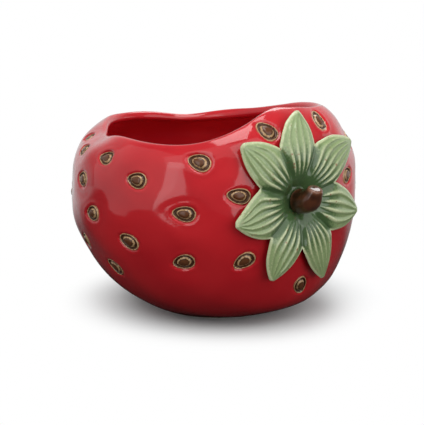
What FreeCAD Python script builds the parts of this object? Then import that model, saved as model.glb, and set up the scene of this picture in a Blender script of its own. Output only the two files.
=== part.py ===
"""Strawberry planter: a hollow ceramic fruit lying on its side, open on top.

The fruit stands on a low foot ring at z = 0 with its calyx end towards +X and its tip towards -X.
A clay pad, seven ribbed leaves and a bent stem are set on the calyx end, and a clay seed is pressed
into each of the pits round the fruit. All sizes are in millimetres.
"""
import FreeCAD, Part
import os
from math import cos, sin, pi, radians, exp, hypot

V = FreeCAD.Vector

# Fruit: greatest reaches from the foot's centre, and the shares of them that each level has
CALYX_REACH = 84.0
TIP_REACH = 97.0
HALF_WIDTH = 82.0
EGG = 0.10  # how much fuller the calyx half is than the tip half
# each level: height, share of the calyx reach, share of the tip reach, share of the half width
LEVELS = (
    (0.0, 0.43, 0.37, 0.39),
    (8.0, 0.71, 0.60, 0.61),
    (20.0, 0.87, 0.77, 0.80),
    (38.0, 0.955, 0.92, 0.933),
    (58.0, 1.0, 1.0, 1.0),
    (78.0, 0.995, 0.995, 0.994),
    (96.0, 0.97, 0.933, 0.94),
    (108.0, 0.925, 0.795, 0.83),
    (120.0, 0.81, 0.66, 0.71),
    (130.0, 0.68, 0.54, 0.59),
)
LOBES = 5  # soft swellings round the fruit
LOBE_DEPTH = 0.7
LOBE_TWIST = 0.02  # radians of turn for each millimetre of height

# Wall, wavy rim and floor
WALL = 5.5
FLOOR = 7.5
DRAIN_R = 6.0
# rim heights at eight equal turns, from the calyx end by way of the +Y side
RIM_HEIGHTS = (128.0, 123.5, 117.5, 107.5, 109.0, 111.0, 111.0, 112.5)

# Foot ring
FOOT_HEIGHT = 1.5
FOOT_RING_WIDTH = 8.0

# Calyx: a hollow in the fruit's end, bedded with a pad that carries the leaves and the stem
CALYX_Y = -4.0
CALYX_Z = 77.0
HOLLOW_DEPTH = 9.0
HOLLOW_R = 20.0
PAD_R = 27.0
PAD_THICK = 1.4
PAD_BED = 0.3  # slip left under the pad, which is pressed into the hollow by hand
BED = 0.15  # slip left between other pieces that are stuck together

# Leaves: name, tip clock angle and length, clock angle and radius of the notch that follows,
# and the share of the free length along which that last side keeps its width.
# Clock angles run from straight up towards +Y.
LEAVES = (
    ("leaf_top", 6, 49.0, 20, 30.0, 0.6),
    ("leaf_upper_right", 58, 53.0, 75, 25.5, 0.6),
    ("leaf_right", 105, 48.0, 134, 27.0, 0.6),
    ("leaf_lower_right", 161, 50.0, 184, 25.0, 0.6),
    ("leaf_lower_left", 207, 48.0, 232, 28.0, 0.6),
    ("leaf_left", 259, 45.0, 290, 29.0, 0.1),
    ("leaf_upper_left", 313, 50.0, 335, 32.0, 0.5),
)
LEAF_BASE = 9.0
LEAF_THICK = 3.0
LEAF_GAP = 0.5
LEAF_LIFT = 2.5  # how far a tip curls off the fruit
LEAF_RIBS = 6
RIB_HEIGHT = 0.55
NOTCH_RUN = 0.5  # share of a leaf's run that lies along its neighbours
SHOULDER = 0.55  # share of the free length along which a leaf's first side keeps its width

# Stem: a stub that leaves the hollow, sags and turns up to a flat cut end
STEM_ROOT_R = 6.4
STEM_BELLY_R = 6.6
STEM_CUT_R = 4.3
STEM_OUT = 14.5
STEM_SAG = 0.3
STEM_RISE = 8.5

# Seeds: egg-shaped pellets, pressed into pits with their pointed end away from the calyx
SEED_LENGTH = 14.0
SEED_BLUNT_R = 5.2
SEED_POINT_R = 1.8
PIT_DEPTH = 3.0
SEED_PLATE = 1.0
SEED_FIT = 0.1
BEAD_MARGIN = 1.7
BEAD_EDGE = 1.2
# each seed: turn round the fruit in degrees from the calyx end, height, twist of its point
SEEDS_FRONT = (
    (-45, 101, 0), (-48, 73, 0), (-49, 45, 5),
    (-68, 89, 0), (-71, 54, -25),
    (-89, 98, 0), (-91, 65, 10), (-84, 35, -30),
    (-101, 82, 0), (-105, 44, 15),
    (-113, 97, 0), (-128, 101, 0),
)
SEEDS_CALYX = (
    (-28, 83, 0), (-26, 46, 10), (-16, 116, 20), (20, 117, 0), (29, 84, 0), (1, 26, 25),
)
SEEDS_BACK = (
    (45, 102, 0), (49, 74, 10), (49, 46, 0),
    (67, 88, -10), (72, 55, 0),
    (88, 97, 10), (92, 66, 0), (85, 36, 20),
    (102, 81, 0), (106, 45, -15), (115, 95, 0),
)
SEEDS_TIP = (
    (-127, 66, 0), (-131, 34, 10), (-148, 83, -10), (-152, 50, 0), (180, 70, 0), (179, 32, 0),
    (150, 84, 10), (151, 51, 0), (128, 68, 0), (131, 35, -10), (138, 93, 0),
)

SECTION_POINTS = 48


def interpolated(points, parameters, periodic=False):
    """Spline through the points, one for each parameter."""
    curve = Part.BSplineCurve()
    curve.interpolate(Points=points, Parameters=parameters, PeriodicFlag=periodic)
    return curve


def closed_curve(points):
    """Smooth closed curve through the points, with even parameters so that sections match."""
    count = len(points)
    return interpolated(points, [k / count for k in range(count + 1)], True)


def flat_face(curve):
    """Flat face inside a closed curve."""
    return Part.Face(Part.Wire(curve.toShape()))


def skin(sections):
    """Solid with a smooth surface through closed sections, the first and last of them flat."""
    curves = [closed_curve(points) for points in sections]
    runs = [0.0]
    for near, far in zip(sections, sections[1:]):
        runs.append(runs[-1] + sum((b - a).Length for a, b in zip(near, far)) / len(near))
    rows = [interpolated(list(poles), runs) for poles in zip(*[curve.getPoles() for curve in curves])]
    surface = Part.BSplineSurface()
    surface.buildFromPolesMultsKnots(
        [row.getPoles() for row in rows],
        curves[0].getMultiplicities(), rows[0].getMultiplicities(),
        curves[0].getKnots(), rows[0].getKnots(),
        True, False, curves[0].Degree, rows[0].Degree,
    )
    faces = Part.makeCompound([surface.toShape(), flat_face(curves[0]), flat_face(curves[-1])])
    faces.sewShape(0.001)
    return Part.Solid(faces.Shells[0])


PROFILE = interpolated(
    [V(CALYX_REACH * c, TIP_REACH * t, HALF_WIDTH * w) for _, c, t, w in LEVELS],
    [level[0] for level in LEVELS],
)
RIM = interpolated(
    [V(cos(k * pi / 4), sin(k * pi / 4), height) for k, height in enumerate(RIM_HEIGHTS)],
    [k * pi / 4 for k in range(len(RIM_HEIGHTS) + 1)],
    True,
)


def outline_point(turn, height):
    """Point of the plain fruit, without its hollow, at a turn round the vertical and a height."""
    calyx, tip, width = PROFILE.value(height)
    lobe = 1 + LOBE_DEPTH / HALF_WIDTH * cos(LOBES * turn + LOBE_TWIST * height)
    x = (calyx - tip) / 2 + (calyx + tip) / 2 * cos(turn)
    y = width * sin(turn) * (1 + EGG * cos(turn))
    return V(lobe * x, lobe * y, height)


def hollow(y, z):
    """Depth of the calyx hollow at a place on the fruit's end."""
    return HOLLOW_DEPTH * exp(-((y - CALYX_Y) ** 2 + (z - CALYX_Z) ** 2) / HOLLOW_R**2)


def body_point(turn, height):
    """Point on the outside of the fruit."""
    point = outline_point(turn, height)
    if cos(turn) > 0:
        point.x -= hollow(point.y, point.z)
    return point


def body_frame(turn, height):
    """Point on the outside of the fruit, its outward normal, and the way up along the wall."""
    step = 0.01
    point = body_point(turn, height)
    round_way = body_point(turn + step, height) - body_point(turn - step, height)
    up_way = body_point(turn, height + 10 * step) - body_point(turn, height - 10 * step)
    normal = round_way.cross(up_way).normalize()
    return point, normal, normal.cross(round_way).normalize()


def wall_height(turn, share):
    """Height on the wall at a share of the way from the foot to the start of the rounded lip."""
    top = RIM.value(turn % (2 * pi)).z - WALL / 2
    return FOOT_HEIGHT + share * (top - FOOT_HEIGHT)


def section_turns():
    """Turns round a section, set closer together at the calyx end, where the hollow is."""
    steps = [2 * pi * k / SECTION_POINTS for k in range(SECTION_POINTS)]
    return [step - 0.45 * sin(step) for step in steps]


def wall_section(share, lip_angle):
    """Closed section of the wall: lip angle 0 is the outside, 90 degrees the crown, 180 the inside."""
    points = []
    for turn in section_turns():
        point, normal, up = body_frame(turn, wall_height(turn, share))
        half = WALL / 2
        points.append(point - normal * half + (normal * cos(lip_angle) + up * sin(lip_angle)) * half)
    return points


def floor_section():
    """Flat closed section where the inner wall meets the floor."""
    outline = [outline_point(turn, FOOT_HEIGHT) for turn in section_turns()]
    return [V(p.x, p.y, FLOOR) for p in outline]


def foot_disc(inset):
    """Disc under the fruit with the foot's outline, drawn in by an inset."""
    points = []
    for turn in section_turns():
        point = outline_point(turn, 0)
        points.append(point * (1 - inset / point.Length))
    return flat_face(closed_curve(points)).extrude(V(0, 0, FOOT_HEIGHT))


def foot_ring():
    """Low ring under the fruit, the only part that touches the table."""
    return foot_disc(0).cut(foot_disc(FOOT_RING_WIDTH))


def fruit_wall():
    """Hollow fruit in one skin: up the outside, over the rounded lip and down the inside."""
    low = (0.03, 0.08, 0.15, 0.25, 0.36)
    high = (0.45, 0.52, 0.58, 0.64, 0.7, 0.77, 0.86)
    outside = [wall_section(share, 0) for share in (0,) + low + high + (1,)]
    lip = [wall_section(1, k * pi / 4) for k in (1, 2, 3, 4)]
    inside = [wall_section(share, pi) for share in high[::-1] + low[:0:-1]]
    return skin(outside + lip + inside + [floor_section()])


def seed_places():
    """Placement of every seed: origin on the fruit, Z outwards, X towards the fruit's tip."""
    places = []
    for turn, height, twist in SEEDS_FRONT + SEEDS_CALYX + SEEDS_BACK + SEEDS_TIP:
        point, normal, _ = body_frame(radians(turn), height)
        along = V(-1, 0, 0) + normal * normal.x
        if along.Length < 0.1:
            along = V(0, 0, -1)
        along.normalize()
        across = normal.cross(along)
        rotation = FreeCAD.Rotation(along, across, normal, "ZXY")
        rotation = rotation * FreeCAD.Rotation(V(0, 0, 1), twist)
        places.append(FreeCAD.Placement(point, rotation))
    return places


def egg_prism(margin, bottom, height):
    """Upright prism on the seed's egg outline: two arcs and the lines that touch both."""
    blunt = SEED_BLUNT_R - margin
    point = max(SEED_POINT_R - margin / 2, 0.4)
    gap = SEED_LENGTH - SEED_BLUNT_R - SEED_POINT_R
    centre = (SEED_LENGTH - 2 * SEED_BLUNT_R) / 2
    lean = (blunt - point) / (gap - margin / 2)
    rise = (1 - lean**2) ** 0.5
    far = gap - centre - margin / 2
    blunt_up = V(-centre + blunt * lean, blunt * rise, bottom)
    point_up = V(far + point * lean, point * rise, bottom)
    blunt_down = V(blunt_up.x, -blunt_up.y, bottom)
    point_down = V(point_up.x, -point_up.y, bottom)
    edges = [
        Part.Arc(blunt_up, V(-centre - blunt, 0, bottom), blunt_down).toShape(),
        Part.makeLine(blunt_down, point_down),
        Part.Arc(point_down, V(far + point, 0, bottom), point_up).toShape(),
        Part.makeLine(point_up, blunt_up),
    ]
    return Part.Face(Part.Wire(edges)).extrude(V(0, 0, height))


def seed():
    """Pellet with a low plate that fills the pit's floor and a rounded bead in its middle."""
    plate = egg_prism(SEED_FIT, BED - PIT_DEPTH, SEED_PLATE)
    bead = egg_prism(BEAD_MARGIN, BED - PIT_DEPTH, PIT_DEPTH)
    top_edges = [edge for edge in bead.Edges if edge.BoundBox.ZMin > -0.5 * PIT_DEPTH]
    return plate.fuse(bead.makeFillet(BEAD_EDGE, top_edges)).removeSplitter()


def fruit_shell(places):
    """Fruit with its foot ring, drain hole and seed pits."""
    shell = fruit_wall().fuse(foot_ring())
    drain = Part.makeCylinder(DRAIN_R, 2 * FLOOR, V(0, 0, -FLOOR / 2))
    pits = [egg_prism(0, -PIT_DEPTH, 2 * PIT_DEPTH).transformed(place.toMatrix()) for place in places]
    return shell.cut([drain] + pits)


def front_x(y, z):
    """Outside of the fruit's calyx end over a place seen along the fruit's axis."""
    low, high = radians(-80), radians(80)
    for _ in range(30):
        middle = (low + high) / 2
        if outline_point(middle, z).y < y:
            low = middle
        else:
            high = middle
    return outline_point(middle, z).x - hollow(y, z)


def calyx_point(place, height):
    """Point at a height square off the fruit, over a place measured from the calyx's centre."""
    y = CALYX_Y + place.y
    z = CALYX_Z + place.z
    step = 0.2
    slope_y = (front_x(y + step, z) - front_x(y - step, z)) / (2 * step)
    slope_z = (front_x(y, z + step) - front_x(y, z - step)) / (2 * step)
    return V(front_x(y, z) + height * hypot(1, slope_y, slope_z), y, z)


def clock_place(clock, radius):
    """Place on the calyx at a clock angle and a radius."""
    return V(0, radius * sin(radians(clock)), radius * cos(radians(clock)))


def pad_ring(radius, height):
    """Closed section of the pad at a radius and a height off the fruit."""
    return [calyx_point(clock_place(15 * k, radius), height) for k in range(24)]


def pad_seat(height):
    """Flat round section in the pad's middle, clear of the hollow's floor by at least a height."""
    ring = pad_ring(STEM_ROOT_R, height)
    level = max(point.x for point in ring)
    return [V(level, point.y, point.z) for point in ring]


def calyx_pad():
    """Dished clay pad in the hollow, with a flat seat for the stem in its middle."""
    middle = (0.35 * PAD_R, 0.5 * PAD_R, 0.7 * PAD_R, 0.88 * PAD_R)
    top = [pad_ring(radius, PAD_THICK) for radius in middle]
    edge = [pad_ring(PAD_R, 0.6 * PAD_THICK)]
    bottom = [pad_ring(radius, PAD_BED) for radius in (0.96 * PAD_R,) + middle[::-1]]
    return skin([pad_seat(PAD_THICK)] + top + edge + bottom + [pad_seat(PAD_BED)])


def leaf_side(notch, tip, shoulder, run):
    """Place on one side of a leaf: along its neighbour up to the notch, then curving to the tip."""
    if run <= NOTCH_RUN:
        start = LEAF_BASE / notch.Length
        return notch * (start + (1 - start) * run / NOTCH_RUN)
    free = (run - NOTCH_RUN) / (1 - NOTCH_RUN)
    way = V(tip).normalize()
    bend = notch + way * (shoulder * (tip.Length - notch.dot(way)))
    return notch * (1 - free) ** 2 + bend * (2 * free * (1 - free)) + tip * free**2


def leaf_under(run):
    """Height of a leaf's underside off the fruit: flat on the pad, then curling up to the tip."""
    return PAD_THICK + BED + LEAF_LIFT * (max(0, run - NOTCH_RUN) / (1 - NOTCH_RUN)) ** 2


def leaf_top(run, share):
    """Height of a leaf's ribbed top at a run from base to tip and a share of its width."""
    thick = LEAF_THICK * (1 - 0.4 * run)
    rib = RIB_HEIGHT * min(1, 3 * (1 - run)) * cos(2 * pi * LEAF_RIBS * share)
    edge = (1 - abs(2 * share - 1) ** 4) ** 0.25
    return leaf_under(run) + 0.4 * thick + edge * (0.6 * thick + rib)


def leaf_section(left, right, tip, shoulder, run):
    """Closed cross-section of a leaf: over the ribbed top, back along the underside."""
    start = leaf_side(left, tip, SHOULDER, run)
    width = leaf_side(right, tip, shoulder, run) - start
    steps = 4 * LEAF_RIBS
    over = [(k / steps, leaf_top(run, k / steps)) for k in range(steps + 1)]
    back = [(share, leaf_under(run)) for share in (0.95, 0.5, 0.05)]
    return [calyx_point(start + width * share, height) for share, height in over + back]


def leaf(left_notch, right_notch, tip_clock, length, shoulder):
    """Ribbed leaf between two notches, from its flat base to its narrow tip."""
    tip = clock_place(tip_clock, length)
    left = clock_place(*left_notch) + clock_place(left_notch[0] + 90, LEAF_GAP / 2)
    right = clock_place(*right_notch) + clock_place(right_notch[0] - 90, LEAF_GAP / 2)
    runs = (0, 0.15, 0.3, 0.42, 0.5, 0.6, 0.72, 0.83, 0.92, 0.975)
    return skin([leaf_section(left, right, tip, shoulder, run) for run in runs])


def stem():
    """Bent stub with a swollen belly, skinned over circles along its bent middle line."""
    root = V(pad_seat(PAD_THICK)[0].x + BED, CALYX_Y, CALYX_Z)
    belly = root + V(0.45 * STEM_OUT, 0, -STEM_SAG)
    cut = root + V(STEM_OUT, 0, STEM_RISE)
    line = Part.BSplineCurve()
    line.interpolate(Points=[root, belly, cut], InitialTangent=V(1, 0, 0), FinalTangent=V(0.4, 0, 1))
    middle_r = 0.5 * (STEM_BELLY_R + STEM_CUT_R)
    stations = ((0, STEM_ROOT_R), (0.35, STEM_BELLY_R), (0.55, STEM_BELLY_R), (0.8, middle_r), (1, STEM_CUT_R))
    side = V(0, 1, 0)
    rings = []
    for share, radius in stations:
        at = line.LastParameter * share
        up = line.tangent(at)[0].cross(side)
        turns = [radians(22.5 * j) for j in range(16)]
        rings.append([line.value(at) + (side * sin(turn) + up * cos(turn)) * radius for turn in turns])
    return skin(rings)


def main():
    os.makedirs("parts", exist_ok=True)
    places = seed_places()
    fruit_shell(places).exportStep("parts/fruit_shell.step")
    calyx_pad().exportStep("parts/calyx_pad.step")
    notches = [row[3:5] for row in LEAVES]
    for k, (name, clock, length, _, _, shoulder) in enumerate(LEAVES):
        blade = leaf(notches[k - 1], notches[k], clock, length, shoulder)
        blade.exportStep(f"parts/{name}.step")
    stem().exportStep("parts/stem.step")
    pellet = seed()
    for number, place in enumerate(places, 1):
        pellet.transformed(place.toMatrix(), True).exportStep(f"parts/seed_{number:02d}.step")


main()
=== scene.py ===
import math

import bpy
import numpy as np
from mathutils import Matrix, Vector
from mathutils.bvhtree import BVHTree
from mathutils.kdtree import KDTree


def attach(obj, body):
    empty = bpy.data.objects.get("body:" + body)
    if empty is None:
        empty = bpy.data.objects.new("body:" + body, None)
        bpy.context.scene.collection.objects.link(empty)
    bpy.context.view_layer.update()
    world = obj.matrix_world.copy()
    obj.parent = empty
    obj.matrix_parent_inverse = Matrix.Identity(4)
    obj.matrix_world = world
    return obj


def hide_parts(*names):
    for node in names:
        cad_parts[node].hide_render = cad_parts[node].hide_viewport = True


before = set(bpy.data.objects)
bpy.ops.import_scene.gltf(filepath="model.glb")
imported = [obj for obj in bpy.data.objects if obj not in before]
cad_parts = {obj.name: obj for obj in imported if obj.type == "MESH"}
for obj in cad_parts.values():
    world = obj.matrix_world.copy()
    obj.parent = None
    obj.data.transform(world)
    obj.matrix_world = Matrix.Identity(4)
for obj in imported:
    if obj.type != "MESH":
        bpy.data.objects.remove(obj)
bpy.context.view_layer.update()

bl_info = {
    "name": "Strawberry planter",
    "version": (1, 0, 0),
    "blender": (4, 5, 0),
    "location": "View3D > Sidebar > Planter",
    "description": "Dresses the planter's CAD frame in glazed ceramic",
    "category": "Object",
}

SEED_NODES = sorted(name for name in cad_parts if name.startswith("seed_"))
LEAF_NODES = sorted(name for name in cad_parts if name.startswith("leaf_"))
# Keeps the fruit's walls once they are read, because the crown lies on them too
MADE = {}

# The fruit's walls are read by rays to and from this middle, which stands over the drain hole.
# Then come the rays' length, and the lowest angles that are read outside and inside
MIDDLE = Vector((0.0, 0.0, 0.060))
FAR = 0.4
FOOT_LIFT = math.radians(-83.9)
FLOOR_LIFT = math.radians(-83.0)

# Roll inside the lip: its height, its way down from the lip, its width, and the step back under it
ROLL_HEIGHT = 0.0013
ROLL_DOWN = 0.0032
ROLL_WIDTH = 0.0022
ROLL_STEP = 0.0008

# Each dip of the lip: turn round the mouth's middle and width in degrees, and depth in metres.
# The dips come in between the two heights
LIP_DIPS = ((245, 24, 0.0055), (152, 12, 0.0022))
MOUTH_X = -0.008
DIP_FOOT = 0.094
DIP_TOP = 0.110

# Seeds: share by which the outline narrows to the point, depth of the pit, and depth of the pale line
# in the skin. Between the two heights the seeds grow towards the lip
SEED_LEAN = 0.22
PIT_DEPTH = 0.0022
SEED_SUNK = 0.0004
SMALL_SEED_Z = 0.096
LARGE_SEED_Z = 0.108
# A CAD pit is closed out to the first share of the outline, from the wall between it and the second
PIT_EDGE = 1.45
PIT_RING = 2.3

# Middle of the leaf crown on the calyx end, radius of its hole for the stem, and the height over which
# the wall under it isn't read but carried on along its slope
CALYX_Y = -0.004
CALYX_Z = 0.077
CROWN_HOLE = 0.005
WALL_TOP = 0.117
# Leaves: bed under them, fall to their sides, rounding of their edges, width and depth of the seams
# between them, and rows on either side over which the ribs are eased
LEAF_BED = 0.00155
LEAF_ARCH = 0.0006
EDGE_ROUND = 0.0016
SEAM_WIDTH = 0.0016
SEAM_DEPTH = 0.0012
RIB_EASE = 9

# Stem: distance at which loose points merge, rounds of smoothing, and relief that counts as 1
MERGE = 0.000002
STEM_ROUNDS = 60
STEM_RELIEF = 0.0003

# Least and most roughness of the body of a glaze, under its glossy coat
GLAZE_ROUGHNESS = (0.28, 0.42)

# Each lamp: name, turn from the camera in degrees (left is negative), rise in degrees, distance,
# width and height in metres, and watts
LAMPS = (
    ("left_softbox", -74, 24, 1.0, 1.7, 1.3, 3.0),
    ("left_strip", -34, 15, 1.0, 0.36, 0.8, 1.5),
    ("right_softbox", 46, 36, 1.0, 1.1, 0.7, 3.0),
    ("right_low_softbox", 45, 6, 1.0, 1.0, 0.5, 3.0),
    ("right_side_softbox", 108, 6, 1.0, 0.5, 0.5, 0.8),
    ("front_softbox", -12, 42, 1.2, 1.5, 0.7, 1.9),
    ("back_softbox", 165, 50, 1.0, 0.5, 0.3, 2.5),
    ("top_softbox", 10, 80, 1.1, 0.7, 0.7, 7.0),
)
# World light all round, and on the backdrop behind the planter
WORLD_LIGHT = 0.19
BACKDROP_LIGHT = 0.7
SENSOR_WIDTH = 36.0


class FruitLooks(bpy.types.PropertyGroup):
    """The red fruit: how finely its skin is laid, and its glaze."""

    columns: bpy.props.IntProperty(
        name="Columns", description="Strips of skin round the fruit", default=320, min=64)
    outer_rows: bpy.props.IntProperty(
        name="Outer rows", description="Rows from the foot up to the lip", default=150, min=40)
    inner_rows: bpy.props.IntProperty(
        name="Inner rows", description="Rows from the lip down to the floor", default=120, min=20)
    lump: bpy.props.FloatProperty(
        name="Lumps", description="Height of the slow lumps of the hand-made mould",
        default=0.0013, unit="LENGTH")
    dimple: bpy.props.FloatProperty(
        name="Seed dimple", description="How far the skin sinks round a seed",
        default=0.0010, unit="LENGTH")
    red: bpy.props.FloatVectorProperty(
        name="Red glaze", description="Glaze where it lies thick", subtype="COLOR",
        default=(0.48, 0.009, 0.016))
    bright_red: bpy.props.FloatVectorProperty(
        name="Thin red glaze", description="Glaze where it lies thin", subtype="COLOR",
        default=(0.55, 0.015, 0.021))
    clay: bpy.props.FloatVectorProperty(
        name="Clay", description="Bare fired clay of the foot", subtype="COLOR",
        default=(0.66, 0.54, 0.42))


class SeedLooks(bpy.types.PropertyGroup):
    """The seeds pressed into the fruit."""

    around: bpy.props.IntProperty(
        name="Points round", description="Points round a seed's outline", default=48, min=16)
    crown: bpy.props.FloatProperty(
        name="Bead height", description="How far the bead stands over the skin",
        default=0.0009, unit="LENGTH")
    bead: bpy.props.FloatVectorProperty(
        name="Bead", description="Brown glaze on the bead", subtype="COLOR",
        default=(0.115, 0.040, 0.015))
    trough: bpy.props.FloatVectorProperty(
        name="Trough", description="Brown glaze pooled round the bead", subtype="COLOR",
        default=(0.070, 0.026, 0.010))
    cream: bpy.props.FloatVectorProperty(
        name="Cream line", description="Clay showing where the glaze breaks", subtype="COLOR",
        default=(0.52, 0.33, 0.17))


class CrownLooks(bpy.types.PropertyGroup):
    """The leaf crown and the stem."""

    columns: bpy.props.IntProperty(
        name="Columns", description="Strips of the crown round its middle", default=560, min=140)
    rows: bpy.props.IntProperty(
        name="Rows", description="Rows from the crown's middle to its edge", default=64, min=20)
    thick: bpy.props.FloatProperty(
        name="Leaf thickness", description="Thickness of a leaf near its base",
        default=0.0030, unit="LENGTH")
    curl: bpy.props.FloatProperty(
        name="Curl", description="How far a leaf's tip lifts off the fruit",
        default=0.0025, unit="LENGTH")
    rib: bpy.props.FloatProperty(
        name="Rib height", description="Height of a leaf's ribs", default=0.0006, unit="LENGTH")
    grain: bpy.props.FloatProperty(
        name="Stem grain", description="Size of a mesh cell on the stem",
        default=0.0004, unit="LENGTH")
    leaf: bpy.props.FloatVectorProperty(
        name="Leaf", description="Green glaze on the leaves", subtype="COLOR",
        default=(0.260, 0.345, 0.155))
    # Green pooled in the grooves, also used as painted shade in the crown's middle and, darkened further,
    # on the pad
    pooled_green_and_shade: bpy.props.FloatVectorProperty(
        name="Pooled green", description="Green glaze pooled in grooves and in the middle",
        subtype="COLOR", default=(0.060, 0.115, 0.040))
    ridge: bpy.props.FloatVectorProperty(
        name="Ridge", description="Pale green where the glaze breaks on ribs and edges",
        subtype="COLOR", default=(0.50, 0.55, 0.32))
    fleck: bpy.props.FloatVectorProperty(
        name="Fleck", description="Red-brown flecks on the leaves", subtype="COLOR",
        default=(0.26, 0.06, 0.03))
    stem: bpy.props.FloatVectorProperty(
        name="Stem", description="Brown glaze of the stem", subtype="COLOR",
        default=(0.080, 0.022, 0.008))
    cut: bpy.props.FloatVectorProperty(
        name="Cut end", description="Thin glaze on the stem's cut end", subtype="COLOR",
        default=(0.170, 0.065, 0.032))


class StageLooks(bpy.types.PropertyGroup):
    """The camera, the lamps and the table."""

    azimuth: bpy.props.FloatProperty(
        name="Azimuth", description="Camera's turn round the planter", subtype="ANGLE",
        default=math.radians(50.93))
    elevation: bpy.props.FloatProperty(
        name="Elevation", description="Camera's height as an angle", subtype="ANGLE",
        default=math.radians(13.13))
    distance: bpy.props.FloatProperty(
        name="Distance", description="Camera to the middle of the planter",
        default=0.8, unit="LENGTH")
    target: bpy.props.FloatVectorProperty(
        name="Target", description="The point the camera looks at", subtype="XYZ",
        default=(-0.00053, -0.00065, 0.05491))
    lens: bpy.props.FloatProperty(
        name="Lens", description="Focal length on a 36 mm sensor, in millimetres", default=113.5)
    floor: bpy.props.FloatProperty(
        name="Table size", description="Side of the white table", default=1.2, unit="LENGTH")


class PlanterLooks(bpy.types.PropertyGroup):
    """All settings of the planter."""

    fruit: bpy.props.PointerProperty(type=FruitLooks)
    seeds: bpy.props.PointerProperty(type=SeedLooks)
    crown: bpy.props.PointerProperty(type=CrownLooks)
    stage: bpy.props.PointerProperty(type=StageLooks)


# Curves and ways

def smooth_step(low, high, value):
    """0 below low, 1 above high, with a soft rise between."""
    share = np.clip((value - low) / (high - low), 0, 1)
    return share * share * (3 - 2 * share)


def bell(value, middle, width):
    """1 at the middle, falling softly to 0 on both sides."""
    return np.exp(-(((value - middle) / width) ** 2))


def way_at(turn, lift):
    """A way of length 1 at a turn round the upright and a lift over the horizon."""
    return Vector((math.cos(turn) * math.cos(lift), math.sin(turn) * math.cos(lift), math.sin(lift)))


# Mesh helpers

def coordinates(mesh):
    """Vertex positions of a mesh, one row each."""
    flat = np.empty(len(mesh.vertices) * 3)
    mesh.vertices.foreach_get("co", flat)
    return flat.reshape(-1, 3)


def vertex_normals(mesh):
    """Vertex normals of a mesh, one row each."""
    flat = np.empty(len(mesh.vertices) * 3)
    mesh.vertex_normals.foreach_get("vector", flat)
    return flat.reshape(-1, 3)


def edge_ends(mesh):
    """Vertex numbers of each edge, one row each."""
    flat = np.empty(len(mesh.edges) * 2, dtype=np.int32)
    mesh.edges.foreach_get("vertices", flat)
    return flat.reshape(-1, 2)


def relaxed(points, edges, rounds):
    """The points after each has moved to the mean of its neighbours, a number of times."""
    count = np.bincount(edges.ravel(), minlength=len(points))[:, None]
    for _ in range(rounds):
        total = np.zeros_like(points)
        np.add.at(total, edges[:, 0], points[edges[:, 1]])
        np.add.at(total, edges[:, 1], points[edges[:, 0]])
        points = 0.5 * points + 0.5 * total / np.maximum(count, 1)
    return points


def search_tree(node):
    """A tree for rays against a CAD node."""
    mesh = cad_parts[node].data
    corners = np.empty(len(mesh.loops), dtype=np.int32)
    mesh.loops.foreach_get("vertex_index", corners)
    return BVHTree.FromPolygons(coordinates(mesh).tolist(), corners.reshape(-1, 3).tolist())


def set_attribute(mesh, name, values):
    """Stores one number per vertex on a mesh."""
    layer = mesh.attributes.new(name, "FLOAT", "POINT")
    layer.data.foreach_set("value", np.asarray(values, dtype=np.float32))


def grid_faces(rows, columns, closed=True):
    """Quads of a grid whose columns close on themselves, and its rows too where it is closed."""
    faces = []
    for row in range(rows if closed else rows - 1):
        above = (row + 1) % rows
        for column in range(columns):
            beside = (column + 1) % columns
            faces.append((row * columns + column, row * columns + beside,
                          above * columns + beside, above * columns + column))
    return faces


def select_only(piece):
    """Makes one object the only selected and the active one."""
    bpy.ops.object.select_all(action="DESELECT")
    piece.select_set(True)
    bpy.context.view_layer.objects.active = piece


def new_piece(name, points, faces):
    """A smooth-shaded object from points and faces that look outwards."""
    mesh = bpy.data.meshes.new(name)
    mesh.from_pydata([tuple(p) for p in points], [], faces)
    mesh.validate()
    mesh.shade_smooth()
    piece = bpy.data.objects.new(name, mesh)
    bpy.context.scene.collection.objects.link(piece)
    select_only(piece)
    bpy.ops.object.mode_set(mode="EDIT")
    bpy.ops.mesh.select_all(action="SELECT")
    bpy.ops.mesh.normals_make_consistent(inside=False)
    bpy.ops.object.mode_set(mode="OBJECT")
    return piece


def apply_modifier(piece, kind, **settings):
    """Adds a modifier with its settings and applies it."""
    select_only(piece)
    modifier = piece.modifiers.new(kind.title(), kind)
    for name, value in settings.items():
        setattr(modifier, name, value)
    bpy.ops.object.modifier_apply(modifier=modifier.name)


def merged_copy(node, name):
    """A copy of a CAD node with its loose triangles merged."""
    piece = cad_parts[node].copy()
    piece.data = piece.data.copy()
    piece.name = name
    piece.data.name = name
    piece.data.materials.clear()
    for key in list(piece.keys()):
        del piece[key]
    piece.parent = None
    bpy.context.scene.collection.objects.link(piece)
    apply_modifier(piece, "WELD", merge_threshold=MERGE)
    return piece


# Seed places, read from the CAD seeds

def seed_ways(points, middle):
    """Long way to a seed's point, cross way and outward way, from how its points are spread."""
    _, _, ways = np.linalg.svd(points - points.mean(0), full_matrices=False)
    long_way = ways[0]
    out_way = ways[2]
    if np.dot(out_way, middle - np.array(MIDDLE)) < 0:
        out_way = -out_way
    along = (points - middle) @ long_way
    across = np.abs((points - middle) @ np.cross(out_way, long_way))
    front = across[along > along.max() * 0.6].max()
    rear = across[along < along.min() * 0.6].max()
    if front > rear:
        long_way = -long_way
    return long_way, np.cross(out_way, long_way), out_way


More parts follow.
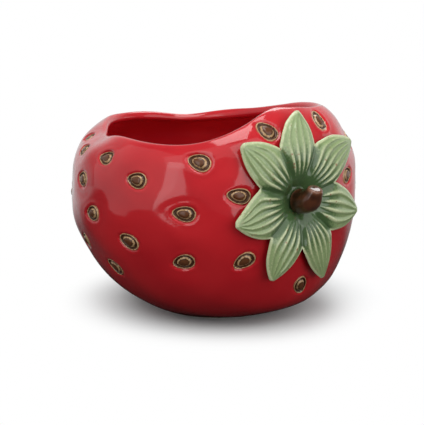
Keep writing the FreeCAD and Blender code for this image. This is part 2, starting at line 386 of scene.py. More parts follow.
def seed_place(node):
    """Middle, ways and half sizes of a seed's pale line, which is a little larger by the lip."""
    points = coordinates(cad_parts[node].data)
    middle = (points.max(0) + points.min(0)) / 2
    long_way, cross_way, out_way = seed_ways(points, middle)
    along = (points - middle) @ long_way
    across = (points - middle) @ cross_way
    outward = (points - middle) @ out_way
    middle = middle + long_way * (along.max() + along.min()) / 2
    middle = middle + cross_way * (across.max() + across.min()) / 2
    middle = middle + out_way * outward.max()
    grown = smooth_step(SMALL_SEED_Z, LARGE_SEED_Z, middle[2])
    return {
        "middle": middle,
        "long": long_way,
        "cross": cross_way,
        "out": out_way,
        "grown": grown,
        "half_length": (along.max() - along.min()) / 2 * (0.92 + 0.06 * grown),
        "half_width": (across.max() - across.min()) / 2 * (0.82 + 0.14 * grown),
    }


def seed_places():
    """Places of all seeds, in the order of their nodes."""
    return [seed_place(node) for node in SEED_NODES]


def egg_reach(place, along, across):
    """How far a point lies out from a seed's middle, 1 on its outline."""
    lean = 1 - SEED_LEAN * np.clip(along / place["half_length"], -1, 1)
    return np.hypot(along / place["half_length"], across / (place["half_width"] * lean))


# Fruit

def sweep(tree, columns, rows, bottom, rim, inside):
    """Ways and reaches of the wall from the foot or floor up to the rim, with rows closer near the rim."""
    spread = 0.08
    ways = np.empty((rows, columns, 3))
    reach = np.empty((rows, columns))
    for column in range(columns):
        turn = 2 * math.pi * column / columns
        for row in range(rows):
            left = 1 - row / rows
            fall = (1 + spread) * left * left / (left + spread)
            way = way_at(turn, rim[column] - (rim[column] - bottom) * fall)
            ways[row, column] = way
            reach[row, column] = wall_reach(tree, way, inside)
    return ways, reach


def wall_reach(tree, way, inside):
    """Distance from the middle to the inner or the outer wall, or 0 where there is none."""
    if inside:
        hit = tree.ray_cast(MIDDLE, way, FAR)
        return hit[3] if hit[0] else 0.0
    hit = tree.ray_cast(MIDDLE + way * FAR, -way, FAR)
    return FAR - hit[3] if hit[0] else 0.0


def rim_lift(tree, turn):
    """Angle over the horizon at which the rim is seen from the middle."""
    low = math.radians(10)
    high = math.radians(85)
    for _ in range(26):
        lift = (low + high) / 2
        if wall_reach(tree, way_at(turn, lift), True):
            low = lift
        else:
            high = lift
    return low


def seed_share(place, ways):
    """Along, across and egg reach of each way's point in a seed's own plane."""
    start = np.array(MIDDLE)
    height = np.dot(place["middle"] - start, place["out"])
    slope = ways @ place["out"]
    beside = slope <= 0.2
    points = ways * (height / np.where(beside, np.inf, slope))[..., None]
    offset = points - (place["middle"] - start)
    along = offset @ place["long"]
    across = offset @ place["cross"]
    share = egg_reach(place, along, across)
    share[beside] = np.inf
    return along, across, share


def quadratic(along, across):
    """Terms of a quadratic over a seed's plane, in centimetres."""
    along = along * 100
    across = across * 100
    terms = (np.ones_like(along), along, across, along * along, along * across, across * across)
    return np.stack(terms, -1)


def close_pit(reach, place, ways):
    """Carries the wall smoothly over the pit of one seed, from the ring of wall round it."""
    along, across, share = seed_share(place, ways)
    inside = share < PIT_EDGE
    ring = (share > PIT_EDGE) & (share < PIT_RING)
    terms, *_ = np.linalg.lstsq(quadratic(along[ring], across[ring]), reach[ring], rcond=None)
    reach[inside] = quadratic(along[inside], across[inside]) @ terms


def sink_seed(reach, place, ways, dimple):
    """Presses a soft dimple, a low raised ring and a pit for one seed into the wall."""
    _, _, share = seed_share(place, ways)
    reach -= dimple * bell(share, 0.0, 1.9)
    reach += 0.3 * dimple * bell(share, 1.35, 0.22)
    reach -= PIT_DEPTH * (1 - smooth_step(0.85, 1.10, share))


def slow_lumps(ways):
    """Slow uneven lumps of a hand-made mould, between about -1 and 1."""
    x, y, z = np.moveaxis(ways, -1, 0)
    lumps = np.sin(7.1 * x + 3.2 * y + 1.0) * np.sin(6.3 * z - 2.4 * x + 0.4)
    lumps += 0.7 * np.sin(9.4 * y - 4.4 * z + 2.1) * np.sin(8.2 * x + 5.1 * z)
    lumps += 0.6 * np.sin(15.0 * x - 8.0 * y + 4.0 * z) * np.sin(13.0 * z + 9.0 * y + 0.7)
    return lumps / 1.8


def skin_sink(looks, ways):
    """How far the lumps take the glazed skin below the CAD wall."""
    fade = smooth_step(-1.0, -0.75, ways[..., 2])
    return looks.lump * (1 - slow_lumps(ways)) * 0.5 * fade


def roll_lip(inner, ways):
    """Swells the inside of the lip to a roll and steps the wall back under it."""
    points = ways * inner[..., None]
    steps = np.linalg.norm(np.diff(points, axis=0), axis=-1)
    down = np.cumsum(steps[::-1], axis=0)[::-1]
    down = np.concatenate([down, np.zeros((1, inner.shape[1]))])
    swell = ROLL_HEIGHT * bell(down, ROLL_DOWN, ROLL_WIDTH)
    return inner - swell + ROLL_STEP * smooth_step(0.0045, 0.0078, down)


def dip_lip(points):
    """Lowers the lip where the hand-made mould dips."""
    turn = np.degrees(np.arctan2(points[..., 1], points[..., 0] - MOUTH_X)) % 360
    depth = sum(deep * bell(turn, at, wide) for at, wide, deep in LIP_DIPS)
    points[..., 2] -= depth * smooth_step(DIP_FOOT, DIP_TOP, points[..., 2])


def smooth_wall(looks, places):
    """Ways and reaches of the outer and the inner wall, with the seed pits closed."""
    if "wall" in MADE:
        return MADE["wall"]
    tree = search_tree("fruit_shell")
    columns = looks.columns
    rim = [rim_lift(tree, 2 * math.pi * column / columns) for column in range(columns)]
    outer_ways, outer = sweep(tree, columns, looks.outer_rows, FOOT_LIFT, rim, False)
    inner_ways, inner = sweep(tree, columns, looks.inner_rows, FLOOR_LIFT, rim, True)
    for place in places:
        close_pit(outer, place, outer_ways)
    MADE["wall"] = outer_ways, outer, inner_ways, inner
    return MADE["wall"]


def skin_tree(looks, places):
    """A tree for rays against the outer wall with the seed pits closed."""
    ways, reach, _, _ = smooth_wall(looks, places)
    points = (np.array(MIDDLE) + ways * reach[..., None]).reshape(-1, 3)
    return BVHTree.FromPolygons(points.tolist(), grid_faces(*reach.shape, closed=False))


def fruit_mesh(looks, places):
    """The fruit's skin: up the outside, over the lip, down the inside and through the drain hole."""
    outer_ways, outer, inner_ways, inner = smooth_wall(looks, places)
    outer = outer - skin_sink(looks, outer_ways)
    inner = roll_lip(inner, inner_ways)
    for place in places:
        sink_seed(outer, place, outer_ways, looks.dimple)
    ways = np.concatenate([outer_ways, inner_ways[::-1]])
    reach = np.concatenate([outer, inner[::-1]])
    points = np.array(MIDDLE) + ways * reach[..., None]
    dip_lip(points)
    return points.reshape(-1, 3), grid_faces(*reach.shape)


class PLANTER_OT_fruit(bpy.types.Operator):
    """Lay the fruit's glazed skin over its CAD wall"""

    bl_idname = "planter.fruit"
    bl_label = "Fruit"

    def execute(self, context):
        looks = context.scene.planter.fruit
        points, faces = fruit_mesh(looks, seed_places())
        piece = new_piece("glazed_fruit", points, faces)
        piece.data.materials.append(red_glaze(looks))
        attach(piece, "root")
        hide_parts("fruit_shell")
        return {"FINISHED"}


# Seeds

def seed_rings(crown):
    """Share of the outline, height and tone of each ring of a seed, from its skirt to its bead."""
    return [
        (1.06, -0.0010, 2.0),
        (1.01, -0.0001, 2.0),
        (0.975, 0.0001, 2.0),
        (0.935, -0.0001, 1.7),
        (0.885, -0.0005, 1.0),
        (0.84, -0.0008, 1.0),
        (0.78, -0.0009, 1.0),
        (0.72, -0.0008, 1.0),
        (0.66, -0.0004, 1.4),
        (0.60, -0.0001, 1.9),
        (0.52, crown * 0.35, 1.7),
        (0.43, crown * 0.62, 0.6),
        (0.31, crown * 0.85, 0.0),
        (0.16, crown * 0.97, 0.0),
    ]


def seed_outline(place, around, number):
    """Points round a seed's egg-shaped outline from its middle, uneven in each seed's own way."""
    turns = np.arange(around) * 2 * math.pi / around
    wobble = 1 + 0.025 * np.sin(2 * turns + number * 1.7) + 0.018 * np.sin(3 * turns + number * 2.9)
    along = np.cos(turns) * place["half_length"] * wobble
    across = np.sin(turns) * place["half_width"] * (1 - SEED_LEAN * np.cos(turns)) * wobble
    return np.outer(along, place["long"]) + np.outer(across, place["cross"])


def cap_faces(rings, around):
    """Quads from ring to ring, and triangles from the last ring to the one point that follows it."""
    faces = grid_faces(rings, around, closed=False)
    last = (rings - 1) * around
    for step in range(around):
        faces.append((last + step, last + (step + 1) % around, last + around))
    return faces


def seed_mesh(place, looks, number, sink):
    """One seed in the sunk skin: pale lip, dark trough, pale ring and glossy bead."""
    outline = seed_outline(place, looks.around, number)
    rings = seed_rings(looks.crown * (1 + 0.25 * math.sin(number * 2.3)))
    points = []
    tones = []
    for share, height, tone in rings:
        points.append(place["middle"] + outline * share + place["out"] * (height - sink))
        tones.append(np.full(looks.around, tone))
    points.append((place["middle"] + place["out"] * (looks.crown - sink))[None])
    tones.append(np.zeros(1))
    points = np.concatenate(points)
    dip_lip(points)
    return points, cap_faces(len(rings), looks.around), np.concatenate(tones)


def seed_sink(fruit, place):
    """How far a seed's pale line lies below its CAD place, along with the skin round it."""
    way = place["middle"] - np.array(MIDDLE)
    way = way / np.linalg.norm(way)
    return SEED_SUNK * (1 - place["grown"]) + skin_sink(fruit, way) + 0.6 * fruit.dimple


class PLANTER_OT_seeds(bpy.types.Operator):
    """Set a seed with its lip, trough and bead into each pit"""

    bl_idname = "planter.seeds"
    bl_label = "Seeds"

    def execute(self, context):
        looks = context.scene.planter.seeds
        fruit = context.scene.planter.fruit
        glaze = seed_glaze(looks)
        for number, node in enumerate(SEED_NODES):
            place = seed_place(node)
            points, faces, tones = seed_mesh(place, looks, number, seed_sink(fruit, place))
            piece = new_piece("glazed_" + node, points, faces)
            set_attribute(piece.data, "tone", tones)
            piece.data.materials.append(glaze)
            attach(piece, "root")
            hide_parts(node)
        return {"FINISHED"}


# Leaf crown

def crown_outline(columns):
    """Reach of the leaves from the calyx's middle at each clock angle."""
    reach = np.zeros(columns)
    for name in LEAF_NODES:
        points = coordinates(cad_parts[name].data)
        y = points[:, 1] - CALYX_Y
        z = points[:, 2] - CALYX_Z
        column = np.round(np.arctan2(y, z) / (2 * math.pi) * columns).astype(int) % columns
        np.maximum.at(reach, column, np.hypot(y, z))
    return (np.roll(reach, 1) + 2 * reach + np.roll(reach, -1)) / 4


def tips_and_notches(reach):
    """Columns of the leaf tips, and of the notch before each of them."""
    columns = len(reach)
    window = columns // 24
    near = np.stack([np.roll(reach, step) for step in range(-window, window + 1)])
    tips = [int(k) for k in np.flatnonzero(reach >= near.max(0))]
    tips = [tip for k, tip in enumerate(tips) if k == 0 or tip - tips[k - 1] > window]
    notches = []
    for k, tip in enumerate(tips):
        before = tips[k - 1] - (columns if k == 0 else 0)
        span = np.arange(before, tip)
        notches.append(int(span[np.argmin(reach[span % columns])]))
    return tips, notches


def leaf_shares(reach, radius):
    """The leaf's number at each place, the share across it, and its width, notch radius and tip radius."""
    rows, columns = radius.shape
    tips, notches = tips_and_notches(reach)
    leaf = {
        "number": np.zeros(columns, dtype=int),
        "across": np.zeros((rows, columns)),
        "width": np.zeros((rows, columns)),
        "notch": np.zeros(columns),
        "tip": np.zeros(columns),
    }
    for number, tip in enumerate(tips):
        first = notches[number]
        last = notches[(number + 1) % len(tips)] + (columns if number + 1 == len(tips) else 0)
        up = np.arange(first, tip + 1)
        down = np.arange(last, tip - 1, -1)
        rise = np.maximum.accumulate(reach[up % columns])
        fall = np.maximum.accumulate(reach[down % columns])
        for column in range(first, last + 1):
            here = column % columns
            low = np.interp(radius[:, here], rise, up)
            high = np.interp(radius[:, here], fall, down)
            leaf["across"][:, here] = np.clip((column - low) / np.maximum(high - low, 0.5), 0, 1)
            leaf["width"][:, here] = (high - low) * 2 * math.pi / columns * radius[:, here]
            leaf["number"][here] = number
            leaf["notch"][here] = 0.5 * (reach[first % columns] + reach[last % columns])
            leaf["tip"][here] = reach[tip]
    return leaf


def wall_under(tree, y, z):
    """The fruit's outside over a place at the calyx end, and how steeply the wall stands there."""
    level = min(z, WALL_TOP)
    spot, normal, _, _ = tree.ray_cast(Vector((FAR, y, level)), Vector((-1, 0, 0)), FAR)
    return spot.x - (z - level) * normal.z / normal.x, 1 / normal.x


def edge_distance(reach, y, z):
    """Distance of each place from the crown's outline."""
    columns = len(reach)
    fine = np.arange(columns * 8) / 8
    clock = fine * 2 * math.pi / columns
    outline = np.interp(fine, np.arange(columns + 1), np.append(reach, reach[0]))
    tree = KDTree(len(fine))
    for number, (out, turn) in enumerate(zip(outline, clock)):
        tree.insert((0, out * math.sin(turn), out * math.cos(turn)), number)
    tree.balance()
    far = [tree.find((0, a, b))[2] for a, b in zip(y.ravel(), z.ravel())]
    return np.array(far).reshape(y.shape)


def crown_grid(looks):
    """Reach of the crown's outline, and the radius, y and z of a grid of places within it."""
    reach = crown_outline(looks.columns)
    clock = np.arange(looks.columns) * 2 * math.pi / looks.columns
    out = 1 - (1 - np.linspace(0, 1, looks.rows)) ** 1.5
    radius = CROWN_HOLE + out[:, None] * (reach - CROWN_HOLE)
    return reach, radius, radius * np.sin(clock), radius * np.cos(clock)


def leaf_seams(leaf, radius):
    """1 along the seams of the leaves, fading out beside them, by the stem and past the notches."""
    side = np.minimum(leaf["across"], 1 - leaf["across"])
    seam = bell(side * leaf["width"], 0.0, SEAM_WIDTH) * smooth_step(0.010, 0.018, radius)
    return seam * (1 - smooth_step(-0.002, 0.003, radius - leaf["notch"]))


def leaf_ribs(leaf, radius, edge, seam):
    """1 on the ribs' crests and 0 in the grooves, fading out by the stem, at the tips, edges and seams."""
    ribs = 5 + leaf["number"] % 2
    eased = np.pad(leaf["across"], ((RIB_EASE, RIB_EASE), (0, 0)), mode="edge")
    eased = np.mean([eased[step:step + len(radius)] for step in range(2 * RIB_EASE + 1)], axis=0)
    sway = 0.015 * np.sin(radius * 110 + leaf["number"] * 2.0)
    crest = (0.5 + 0.5 * np.cos(2 * math.pi * ribs * (eased + sway))) ** 1.6
    crest = crest * smooth_step(0.011, 0.022, radius) * smooth_step(0.0, 0.18, 1 - radius / leaf["tip"])
    return crest * smooth_step(0.0006, 0.0030, edge) * (1 - seam)


def leaf_heights(looks, leaf, radius, edge, seam, crest):
    """Heights of the leaves' tops and undersides over the fruit."""
    free = np.clip((radius - leaf["notch"]) / (leaf["tip"] - leaf["notch"]), 0, 1)
    under = LEAF_BED + looks.curl * free ** 2
    thick = looks.thick * (1 - 0.4 * radius / leaf["tip"]) * smooth_step(0.004, 0.015, radius)
    rounding = np.sqrt(1 - (1 - np.clip(edge / EDGE_ROUND, 0, 1)) ** 2)
    swell = looks.rib * crest - LEAF_ARCH * (2 * leaf["across"] - 1) ** 2 - SEAM_DEPTH * seam
    top = under + thick * (0.45 + 0.55 * rounding) + swell * rounding
    bottom = under + thick * 0.45 * (1 - rounding)
    return top, bottom


def leaf_tones(leaf, radius, edge, seam, crest):
    """How pale the glaze breaks at each place, and how dark it is: pooled in the grooves, darker along the
    seams, and painted shade in the hollow round the stem and towards the leaves' bases.
    """
    out = radius / leaf["tip"]
    pale = np.clip(crest + 0.9 * (1 - smooth_step(0.0004, 0.0020, edge)), 0, 1)
    pale = pale * (1 - 0.55 * smooth_step(0.45, 0.75, out) * (edge > 0.0022))
    # Painted shade: darker in the hollow round the stem (deep) and over the inner part of each leaf (base)
    deep = 1 - smooth_step(0.008, 0.036, radius)
    base = 1 - smooth_step(0.35, 0.80, out)
    dark = np.clip(0.85 * deep + 0.5 * seam + (0.10 + 0.45 * base) * (1 - crest), 0, 1)
    return pale, dark


def crown_mesh(looks, tree):
    """The leaves as one glazed skin: from the stem over the ribbed tops, round the edges and back under."""
    reach, radius, y, z = crown_grid(looks)
    edge = edge_distance(reach, y, z)
    leaf = leaf_shares(reach, radius)
    seam = leaf_seams(leaf, radius)
    crest = leaf_ribs(leaf, radius, edge, seam)
    top, bottom = leaf_heights(looks, leaf, radius, edge, seam, crest)
    pale, dark = leaf_tones(leaf, radius, edge, seam, crest)
    y = CALYX_Y + y
    z = CALYX_Z + z
    wall = np.array([[wall_under(tree, *spot) for spot in zip(*row)] for row in zip(y, z)])
    top = np.stack([wall[..., 0] + top * wall[..., 1], y, z], -1)
    bottom = np.stack([wall[..., 0] + bottom * wall[..., 1], y, z], -1)
    # The underside is hidden, so every fourth row is enough for it
    back = list(range(looks.rows - 2, 8, -4))
    points = np.concatenate([top, bottom[back]])
    pale = np.concatenate([pale, np.zeros_like(pale[back])])
    dark = np.concatenate([dark, dark[back]])
    return points.reshape(-1, 3), len(points), pale.ravel(), dark.ravel()


class PLANTER_OT_crown(bpy.types.Operator):
    """Lay the glazed leaf crown over the seven CAD leaves"""

    bl_idname = "planter.crown"
    bl_label = "Leaf crown"

    def execute(self, context):
        looks = context.scene.planter.crown
        tree = skin_tree(context.scene.planter.fruit, seed_places())
        points, rows, pale, dark = crown_mesh(looks, tree)
        piece = new_piece("glazed_crown", points, grid_faces(rows, looks.columns))
        set_attribute(piece.data, "pale", pale)
        # The dark share holds the pooled grooves, the darker seams and painted shade in the crown's middle
        set_attribute(piece.data, "dark", dark)
        piece.data.materials.append(green_glaze(looks))
        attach(piece, "root")
        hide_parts(*LEAF_NODES)
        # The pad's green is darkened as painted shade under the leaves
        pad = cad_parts["calyx_pad"]
        pad.data.materials.clear()
        pad.data.materials.append(pad_glaze(looks))
        return {"FINISHED"}


# Stem

def set_relief(piece, rounds, scale):
    """Marks ridges above 0 and hollows below 0, by how far the surface stands over a smoothed one."""
    mesh = piece.data
    points = coordinates(mesh)
    smooth = relaxed(points, edge_ends(mesh), rounds)
    relief = np.einsum("ij,ij->i", points - smooth, vertex_normals(mesh)) / scale
    set_attribute(mesh, "relief", np.clip(relief, -2, 2))


class PLANTER_OT_stem(bpy.types.Operator):
    """Dress the bent stem with its cut end"""

    bl_idname = "planter.stem"
    bl_label = "Stem"

    def execute(self, context):
        looks = context.scene.planter.crown
        piece = merged_copy("stem", "glazed_stem")
        apply_modifier(piece, "REMESH", mode="VOXEL", voxel_size=looks.grain, use_smooth_shade=True)
        apply_modifier(piece, "SMOOTH", factor=0.5, iterations=STEM_ROUNDS)
        set_relief(piece, STEM_ROUNDS, STEM_RELIEF)
        piece.data.materials.append(stem_glaze(looks))
        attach(piece, "root")
        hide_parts("stem")
        return {"FINISHED"}


# Glazes

def set_inputs(made, **values):
    """Sets inputs of a shader node by their names, with a low line for each space."""
    for name, value in values.items():
        made.inputs[name.replace("_", " ")].default_value = value


def shader_node(tree, kind, **values):
    """A shader node with some of its inputs set."""
    made = tree.nodes.new("ShaderNode" + kind)
    set_inputs(made, **values)
    return made


def colour(value):
    """A colour with full opacity."""
    return (*value, 1.0)


def math_node(tree, operation, first, second):
    """A maths node fed by sockets or numbers."""
    made = shader_node(tree, "Math")
    made.operation = operation
    for socket, value in zip(made.inputs, (first, second)):
        if isinstance(value, (int, float)):
            socket.default_value = value
        else:
            tree.links.new(value, socket)
    return made.outputs[0]


def span_node(tree, value, low, high, to_low=0.0, to_high=1.0):
    """Maps a value from one span to another, softly and held at the ends."""
    made = shader_node(tree, "MapRange", From_Min=low, From_Max=high, To_Min=to_low, To_Max=to_high)
    made.interpolation_type = "SMOOTHSTEP"
    tree.links.new(value, made.inputs["Value"])
    return made.outputs["Result"]


def blend_node(tree, share, first, second):
    """Mixes two colours, each a socket or a colour, by a share."""
    made = shader_node(tree, "Mix")
    made.data_type = "RGBA"
    tree.links.new(share, made.inputs["Factor"])
    for socket, value in ((made.inputs[6], first), (made.inputs[7], second)):
        if isinstance(value, bpy.types.NodeSocket):
            tree.links.new(value, socket)
        else:
            socket.default_value = colour(value)
    return made.outputs[2]


def object_place(tree):
    """The place of a point of the surface, in metres."""
    return shader_node(tree, "TexCoord").outputs["Object"]


def glaze_group():
    """Shared look of a fired glaze: slow pooling, fine mottle, a few specks and an orange-peel height."""
    known = bpy.data.node_groups.get("fired_glaze")
    if known:
        return known
    group = bpy.data.node_groups.new("fired_glaze", "ShaderNodeTree")
    face = group.interface
    for name, value in (("Pool Size", 40.0), ("Mottle Size", 400.0), ("Speck Size", 500.0)):
        face.new_socket(name, in_out="INPUT", socket_type="NodeSocketFloat").default_value = value
    for name in ("Pool", "Mottle", "Speck", "Height"):
        face.new_socket(name, in_out="OUTPUT", socket_type="NodeSocketFloat")
    start = group.nodes.new("NodeGroupInput")
    end = group.nodes.new("NodeGroupOutput")
    place = object_place(group)
    pool = shader_node(group, "TexNoise", Detail=2.0, Roughness=0.5)
    mottle = shader_node(group, "TexNoise", Detail=4.0, Roughness=0.6)
    specks = shader_node(group, "TexNoise", Detail=1.0, Roughness=0.4)
    for texture, size in ((pool, "Pool Size"), (mottle, "Mottle Size"), (specks, "Speck Size")):
        group.links.new(place, texture.inputs["Vector"])
        group.links.new(start.outputs[size], texture.inputs["Scale"])
    group.links.new(span_node(group, pool.outputs["Fac"], 0.3, 0.7), end.inputs["Pool"])
    group.links.new(span_node(group, mottle.outputs["Fac"], 0.3, 0.7), end.inputs["Mottle"])
    group.links.new(span_node(group, specks.outputs["Fac"], 0.68, 0.73), end.inputs["Speck"])
    fine = math_node(group, "MULTIPLY", mottle.outputs["Fac"], 0.12)
    group.links.new(math_node(group, "ADD", pool.outputs["Fac"], fine), end.inputs["Height"])
    return group


def glaze_material(name, pool_size, mottle_size, speck_size, bump):
    """A material with a glossy glaze shader and the shared glaze look."""
    material = bpy.data.materials.new(name)
    material.use_nodes = True
    tree = material.node_tree
    shader = tree.nodes["Principled BSDF"]
    set_inputs(shader, Coat_Weight=1.0, Coat_Roughness=0.08, Coat_IOR=1.5, Specular_IOR_Level=0.08)
    look = shader_node(tree, "Group")
    look.node_tree = glaze_group()
    set_inputs(look, Pool_Size=pool_size, Mottle_Size=mottle_size, Speck_Size=speck_size)
    relief = shader_node(tree, "Bump", Strength=1.0, Distance=bump)
    tree.links.new(look.outputs["Height"], relief.inputs["Height"])
    tree.links.new(relief.outputs["Normal"], shader.inputs["Normal"])
    rough = span_node(tree, look.outputs["Mottle"], 0, 1, *GLAZE_ROUGHNESS)
    tree.links.new(rough, shader.inputs["Roughness"])
    return material, tree, shader, look


def height_over_table(tree):
    """The height of a point of the surface over the table."""
    split = shader_node(tree, "SeparateXYZ")
    tree.links.new(object_place(tree), split.inputs["Vector"])
    return split.outputs["Z"]


def red_glaze(looks):
    """Red glaze over the fruit, with bare clay at the foot."""
    material, tree, shader, look = glaze_material("red_glaze", 30.0, 500.0, 700.0, 0.00012)
    red = blend_node(tree, look.outputs["Pool"], looks.red, looks.bright_red)
    uneven = math_node(tree, "MULTIPLY", look.outputs["Mottle"], 0.0006)
    height = math_node(tree, "ADD", height_over_table(tree), uneven)
    foot = span_node(tree, height, 0.0013, 0.0019, 1.0, 0.0)
    tree.links.new(blend_node(tree, foot, red, looks.clay), shader.inputs["Base Color"])
    tree.links.new(math_node(tree, "SUBTRACT", 1.0, foot), shader.inputs["Coat Weight"])
    return material


def attribute_value(tree, name):
    """A number stored on the mesh."""
    made = shader_node(tree, "Attribute")
    made.attribute_name = name
    return made.outputs["Fac"]


def seed_glaze(looks):
    """Brown glaze that pools dark in the trough and breaks to cream on its edges."""
    material, tree, shader, look = glaze_material("seed_glaze", 300.0, 900.0, 900.0, 0.00008)
    tone = attribute_value(tree, "tone")
    wander = span_node(tree, look.outputs["Mottle"], 0, 1, -0.25, 0.30)
    tone = math_node(tree, "ADD", tone, wander)
    brown = blend_node(tree, span_node(tree, tone, 0.2, 0.9), looks.bead, looks.trough)
    shown = blend_node(tree, span_node(tree, tone, 1.35, 1.85), brown, looks.cream)
    tree.links.new(shown, shader.inputs["Base Color"])
    set_inputs(shader, Coat_Weight=0.6)
    return material


def green_glaze(looks):
    """Green glaze that breaks pale on ribs and edges, pools dark in the grooves, and carries painted shade
    in the middle.
    """
    material, tree, shader, look = glaze_material("green_glaze", 60.0, 900.0, 420.0, 0.00008)
    wander = span_node(tree, look.outputs["Mottle"], 0, 1, -0.15, 0.15)
    pale = math_node(tree, "ADD", attribute_value(tree, "pale"), wander)
    dark = math_node(tree, "ADD", attribute_value(tree, "dark"), wander)
    # Towards the darker green by the dark share, which holds painted shade round the stem
    green = blend_node(tree, span_node(tree, dark, 0.0, 1.0), looks.leaf, looks.pooled_green_and_shade)
    green = blend_node(tree, span_node(tree, pale, 0.2, 0.95), green, looks.ridge)
    edge = span_node(tree, attribute_value(tree, "pale"), 0.3, 0.9, 0.15, 0.9)
    fleck = math_node(tree, "MULTIPLY", look.outputs["Speck"], edge)
    tree.links.new(blend_node(tree, fleck, green, looks.fleck), shader.inputs["Base Color"])
    return material


def pad_glaze(looks):
    """Pooled green of the pad, darkened further as painted shade where it lies under and between the
    leaves.
    """
    material, tree, shader, look = glaze_material("pad_glaze", 120.0, 700.0, 420.0, 0.00010)
    # Painted shade: the pad's green darkened to just over half, as it sits under the leaves
    dark = tuple(value * 0.55 for value in looks.pooled_green_and_shade)
    tree.links.new(blend_node(tree, look.outputs["Pool"], dark, looks.pooled_green_and_shade), shader.inputs["Base Color"])
    return material


def stem_glaze(looks):
    """Dark brown glaze of the stem, thinner and lighter on its cut end."""
    material, tree, shader, look = glaze_material("stem_glaze", 150.0, 800.0, 500.0, 0.00010)
    thin = span_node(tree, attribute_value(tree, "relief"), 0.3, 1.6)
    dark = tuple(value * 0.22 for value in looks.stem)
    brown = blend_node(tree, look.outputs["Pool"], dark, looks.stem)
    tree.links.new(blend_node(tree, thin, brown, looks.cut), shader.inputs["Base Color"])
    set_inputs(shader, Coat_Roughness=0.03)
    return material


# Stage

def mix_shaders(tree, share, first, second):
    """Mixes two shaders by a share."""
    made = shader_node(tree, "MixShader")
    tree.links.new(share, made.inputs["Fac"])
    tree.links.new(first, made.inputs[1])
    tree.links.new(second, made.inputs[2])
    return made.outputs[0]


def vector_measure(tree, operation, socket, other):
    """A number from a vector socket and a fixed vector."""
    made = shader_node(tree, "VectorMath")
    made.operation = operation
    tree.links.new(socket, made.inputs[0])
    made.inputs[1].default_value = other
    return made.outputs["Value"]


def camera_rays(tree):
    """1 for rays that come straight from the camera."""
    return shader_node(tree, "LightPath").outputs["Is Camera Ray"]


def table_white(away):
    """Table that looks white and keeps the shadow; the glaze mirrors it dark in front and lit behind."""
    material = bpy.data.materials.new("table_white")
    material.use_nodes = True
    tree = material.node_tree
    tree.nodes.clear()
    white = shader_node(tree, "BsdfDiffuse", Color=colour((0.86, 0.91, 0.91))).outputs[0]
    glow = shader_node(tree, "Emission", Color=colour((1.0, 1.0, 1.0)), Strength=1.0).outputs[0]
    grey = shader_node(tree, "BsdfDiffuse", Color=colour((0.05, 0.05, 0.05))).outputs[0]
    lit = shader_node(tree, "Emission", Color=colour((1.0, 1.0, 1.0)), Strength=0.6).outputs[0]
    spot = object_place(tree)
    shadow_middle = (0.0, 0.012, 0.0)
    far = span_node(tree, vector_measure(tree, "DISTANCE", spot, shadow_middle), 0.05, 0.105)
    behind = span_node(tree, vector_measure(tree, "DOT_PRODUCT", spot, away), 0.06, 0.25)
    seen = mix_shaders(tree, far, white, glow)
    mirrored = mix_shaders(tree, behind, grey, lit)
    end = shader_node(tree, "OutputMaterial")
    tree.links.new(mix_shaders(tree, camera_rays(tree), mirrored, seen), end.inputs["Surface"])
    return material


def white_world(away):
    """Plain world light with a white backdrop behind the planter, white wherever the camera looks."""
    world = bpy.data.worlds.new("studio")
    world.use_nodes = True
    tree = world.node_tree
    back = tree.nodes["Background"]
    set_inputs(back, Color=colour((1.0, 1.0, 1.0)))
    way = shader_node(tree, "TexCoord").outputs["Generated"]
    facing = vector_measure(tree, "DOT_PRODUCT", way, away)
    backdrop = span_node(tree, facing, 0.35, 0.9, WORLD_LIGHT, BACKDROP_LIGHT)
    strength = math_node(tree, "MAXIMUM", backdrop, camera_rays(tree))
    tree.links.new(strength, back.inputs["Strength"])
    return world


def set_object(name, data, place, way):
    """Puts a lamp or a camera at a place, facing a way."""
    holder = bpy.data.objects.new(name, data)
    holder.location = place
    holder.rotation_euler = way.to_track_quat("-Z", "Y").to_euler()
    bpy.context.scene.collection.objects.link(holder)
    return holder


def set_camera(looks, way):
    """The camera, which looks at its target from a way."""
    lens = bpy.data.cameras.new("camera")
    lens.lens = looks.lens
    lens.sensor_width = SENSOR_WIDTH
    place = Vector(looks.target) + way * looks.distance
    bpy.context.scene.camera = set_object("camera", lens, place, -way)


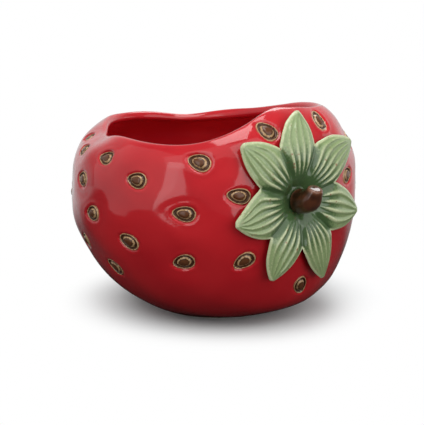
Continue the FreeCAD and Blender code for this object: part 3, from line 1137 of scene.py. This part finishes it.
def set_lamps(looks, front):
    """The soft lamps, each facing the camera's target."""
    for name, turn, rise, distance, width, height, watts in LAMPS:
        lamp = bpy.data.lights.new(name, "AREA")
        lamp.shape = "RECTANGLE"
        lamp.size = width
        lamp.size_y = height
        lamp.energy = watts
        way = way_at(front + math.radians(turn), math.radians(rise))
        set_object(name, lamp, Vector(looks.target) + way * distance, -way)


class PLANTER_OT_stage(bpy.types.Operator):
    """Set the white table, the lamps and the camera"""

    bl_idname = "planter.stage"
    bl_label = "Stage"

    def execute(self, context):
        looks = context.scene.planter.stage
        bpy.ops.object.select_all(action="DESELECT")
        bpy.ops.mesh.primitive_plane_add(size=looks.floor, location=(0, 0, 0))
        table = context.active_object
        table.name = "table"
        front = looks.azimuth - math.pi / 2
        away = -way_at(front, 0.0)
        table.data.materials.append(table_white(away))
        set_camera(looks, way_at(front, looks.elevation))
        set_lamps(looks, front)
        context.scene.world = white_world(away)
        context.scene.view_settings.view_transform = "Standard"
        return {"FINISHED"}


class PLANTER_PT_steps(bpy.types.Panel):
    """Steps that dress the planter"""

    bl_label = "Strawberry planter"
    bl_space_type = "VIEW_3D"
    bl_region_type = "UI"
    bl_category = "Planter"

    def draw(self, context):
        column = self.layout.column()
        for step in STEPS:
            column.operator(step.bl_idname)


STEPS = (PLANTER_OT_fruit, PLANTER_OT_seeds, PLANTER_OT_crown, PLANTER_OT_stem, PLANTER_OT_stage)
CLASSES = (FruitLooks, SeedLooks, CrownLooks, StageLooks, PlanterLooks, *STEPS, PLANTER_PT_steps)


def register():
    """Makes the settings, the steps and the panel known to Blender."""
    for kind in CLASSES:
        bpy.utils.register_class(kind)
    bpy.types.Scene.planter = bpy.props.PointerProperty(type=PlanterLooks)


def unregister():
    """Takes them away again."""
    del bpy.types.Scene.planter
    for kind in reversed(CLASSES):
        bpy.utils.unregister_class(kind)


def main():
    """Dresses the planter step by step."""
    register()
    bpy.ops.planter.fruit()
    bpy.ops.planter.seeds()
    bpy.ops.planter.crown()
    bpy.ops.planter.stem()
    bpy.ops.planter.stage()


if __name__ == "__main__":
    main()
